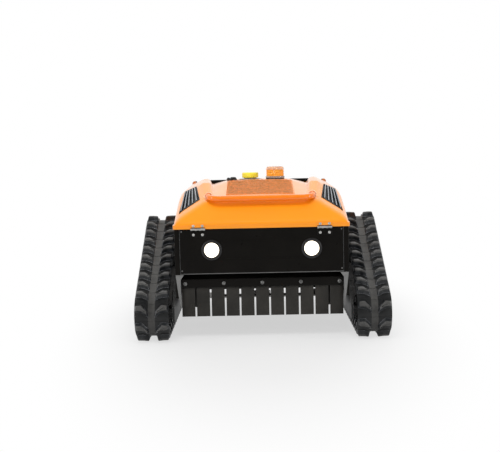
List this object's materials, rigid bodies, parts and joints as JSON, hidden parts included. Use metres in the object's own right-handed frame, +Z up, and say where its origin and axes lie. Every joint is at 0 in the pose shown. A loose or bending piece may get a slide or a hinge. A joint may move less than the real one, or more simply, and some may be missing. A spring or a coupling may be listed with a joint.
{
  "type": "remote control slope mower",
  "caption": "Radio-controlled tracked slope mower with a steel body, moulded orange hood, rubber tracks, strip curtains and a liftable cutting deck.",
  "frame": {"origin": "on the ground under the middle of the machine", "axes": "+Z up; the front, with the headlights, faces -Y; +X is the right side of the picture"},
  "size_m": [0.912, 0.9778, 0.595],
  "materials": {
    "frame_steel": "satin black powder coat",
    "panel_black": "satin black powder coat",
    "side_grey": "satin grey powder coat",
    "hood_orange": "glossy moulded orange",
    "handle_orange": "glossy orange powder coat",
    "mesh_orange": "satin orange powder coat",
    "vent_black": "matte black",
    "rubber_black": "dull black rubber",
    "strip_rubber": "dull dark grey rubber",
    "zinc": "zinc plated",
    "steel": "bright steel",
    "aluminium": "cast, matte",
    "lens_clear": "clear",
    "lens_amber": "amber",
    "cap_yellow": "yellow",
    "tank_plastic": "natural polyethylene",
    "stop_red": "red",
    "wheel_plastic": "black nylon",
    "exhaust_steel": "heat-stained steel",
    "casing_plastic": "matte black"
  },
  "bodies": {
    "machine": {"chassis_frame": "frame_steel", "front_panel": "panel_black", "rear_panel": "panel_black", "side_panel_left": "side_grey", "side_panel_right": "side_grey", "flap_brackets": "frame_steel", "curtain_headers": "frame_steel", "flap_clamps": "panel_black", "flap_bolts": "zinc", "hinge_lower_leaves": "panel_black", "headlight_housings": "vent_black", "headlight_lenses": "lens_clear", "fuel_tank": "tank_plastic", "batteries": "casing_plastic", "control_box": "casing_plastic", "lift_tube": "frame_steel", "guide_rods": "steel", "gearmotors": "aluminium", "rear_bar": "frame_steel", "marker_lamps": "lens_amber", "stop_housing": "vent_black", "track_frame_left": "frame_steel", "track_frame_right": "frame_steel", "axle_caps": "zinc", "track_belt_left": "rubber_black", "track_belt_right": "rubber_black"},
    "hood": {"hood_shell": "hood_orange", "hood_grille": "mesh_orange", "hood_louvres": "vent_black", "hood_handle": "handle_orange", "hinge_upper_leaves": "handle_orange", "beacon_base": "vent_black", "beacon_lens": "lens_amber", "aerial_base": "vent_black"},
    "deck": {"deck_shell": "frame_steel", "lift_rod": "steel", "engine_block": "aluminium", "engine_shroud": "casing_plastic", "muffler": "exhaust_steel", "air_filter": "casing_plastic"},
    "blade": {"blade_spindle": "steel", "cutter_blade": "steel"},
    "fuel_cap": {"fuel_cap": "cap_yellow"},
    "stop_button": {"stop_button": "stop_red"},
    "front_curtain": {"strips_front": "strip_rubber"},
    "rear_curtain": {"strips_rear": "strip_rubber"},
    "drive_sprocket_left": {"drive_sprocket_left": "wheel_plastic"},
    "idler_front_left": {"idler_front_left": "wheel_plastic"},
    "idler_rear_left": {"idler_rear_left": "wheel_plastic"},
    "roller_front_left": {"roller_front_left": "wheel_plastic"},
    "roller_middle_left": {"roller_middle_left": "wheel_plastic"},
    "roller_rear_left": {"roller_rear_left": "wheel_plastic"},
    "drive_sprocket_right": {"drive_sprocket_right": "wheel_plastic"},
    "idler_front_right": {"idler_front_right": "wheel_plastic"},
    "idler_rear_right": {"idler_rear_right": "wheel_plastic"},
    "roller_front_right": {"roller_front_right": "wheel_plastic"},
    "roller_middle_right": {"roller_middle_right": "wheel_plastic"},
    "roller_rear_right": {"roller_rear_right": "wheel_plastic"}
  },
  "joints": [
    {"name": "hood_hinge", "type": "hinge", "parent": "machine", "child": "hood", "pos_m": [0, -0.404, 0.3937], "axis": [1, 0, 0], "range_deg": [0, 95]},
    {"name": "deck_lift", "type": "slide", "parent": "machine", "child": "deck", "axis": [0, 0, 1], "range_m": [-0.03, 0.04]},
    {"name": "blade_spin", "type": "hinge", "parent": "deck", "child": "blade", "pos_m": [0, 0, 0.087], "axis": [0, 0, 1], "continuous": true},
    {"name": "fuel_cap_turn", "type": "hinge", "parent": "machine", "child": "fuel_cap", "pos_m": [-0.037, 0.1, 0.56], "axis": [0, 0, 1], "range_deg": [0, 120]},
    {"name": "stop_press", "type": "slide", "parent": "machine", "child": "stop_button", "axis": [0, 1, 0], "range_m": [-0.005, 0], "stiffness_N_per_m": 400},
    {"name": "front_curtain_swing", "type": "hinge", "parent": "machine", "child": "front_curtain", "pos_m": [0, -0.38, 0.1827], "axis": [1, 0, 0], "range_deg": [-45, 45]},
    {"name": "rear_curtain_swing", "type": "hinge", "parent": "machine", "child": "rear_curtain", "pos_m": [0, 0.38, 0.1827], "axis": [1, 0, 0], "range_deg": [-45, 45]},
    {"name": "drive_left", "type": "hinge", "parent": "machine", "child": "drive_sprocket_left", "pos_m": [-0.39, 0.052, 0.312], "axis": [1, 0, 0], "continuous": true, "deforming": ["track_belt_left"]},
    {"name": "idler_front_left_turn", "type": "hinge", "parent": "machine", "child": "idler_front_left", "pos_m": [-0.39, -0.39648, 0.092], "axis": [1, 0, 0], "continuous": true},
    {"name": "idler_rear_left_turn", "type": "hinge", "parent": "machine", "child": "idler_rear_left", "pos_m": [-0.39, 0.39648, 0.092], "axis": [1, 0, 0], "continuous": true},
    {"name": "roller_front_left_turn", "type": "hinge", "parent": "machine", "child": "roller_front_left", "pos_m": [-0.39, -0.198, 0.071], "axis": [1, 0, 0], "continuous": true},
    {"name": "roller_middle_left_turn", "type": "hinge", "parent": "machine", "child": "roller_middle_left", "pos_m": [-0.39, 0, 0.071], "axis": [1, 0, 0], "continuous": true},
    {"name": "roller_rear_left_turn", "type": "hinge", "parent": "machine", "child": "roller_rear_left", "pos_m": [-0.39, 0.198, 0.071], "axis": [1, 0, 0], "continuous": true},
    {"name": "drive_right", "type": "hinge", "parent": "machine", "child": "drive_sprocket_right", "pos_m": [0.39, 0.052, 0.312], "axis": [1, 0, 0], "continuous": true, "deforming": ["track_belt_right"]},
    {"name": "idler_front_right_turn", "type": "hinge", "parent": "machine", "child": "idler_front_right", "pos_m": [0.39, -0.39648, 0.092], "axis": [1, 0, 0], "continuous": true},
    {"name": "idler_rear_right_turn", "type": "hinge", "parent": "machine", "child": "idler_rear_right", "pos_m": [0.39, 0.39648, 0.092], "axis": [1, 0, 0], "continuous": true},
    {"name": "roller_front_right_turn", "type": "hinge", "parent": "machine", "child": "roller_front_right", "pos_m": [0.39, -0.198, 0.071], "axis": [1, 0, 0], "continuous": true},
    {"name": "roller_middle_right_turn", "type": "hinge", "parent": "machine", "child": "roller_middle_right", "pos_m": [0.39, 0, 0.071], "axis": [1, 0, 0], "continuous": true},
    {"name": "roller_rear_right_turn", "type": "hinge", "parent": "machine", "child": "roller_rear_right", "pos_m": [0.39, 0.198, 0.071], "axis": [1, 0, 0], "continuous": true}
  ],
  "couplings": [
    {"joint": "idler_front_left_turn", "follows": "drive_left", "ratio": 1.0423},
    {"joint": "idler_rear_left_turn", "follows": "drive_left", "ratio": 1.0423},
    {"joint": "roller_front_left_turn", "follows": "drive_left", "ratio": 1.48},
    {"joint": "roller_middle_left_turn", "follows": "drive_left", "ratio": 1.48},
    {"joint": "roller_rear_left_turn", "follows": "drive_left", "ratio": 1.48},
    {"joint": "idler_front_right_turn", "follows": "drive_right", "ratio": 1.0423},
    {"joint": "idler_rear_right_turn", "follows": "drive_right", "ratio": 1.0423},
    {"joint": "roller_front_right_turn", "follows": "drive_right", "ratio": 1.48},
    {"joint": "roller_middle_right_turn", "follows": "drive_right", "ratio": 1.48},
    {"joint": "roller_rear_right_turn", "follows": "drive_right", "ratio": 1.48}
  ]
}
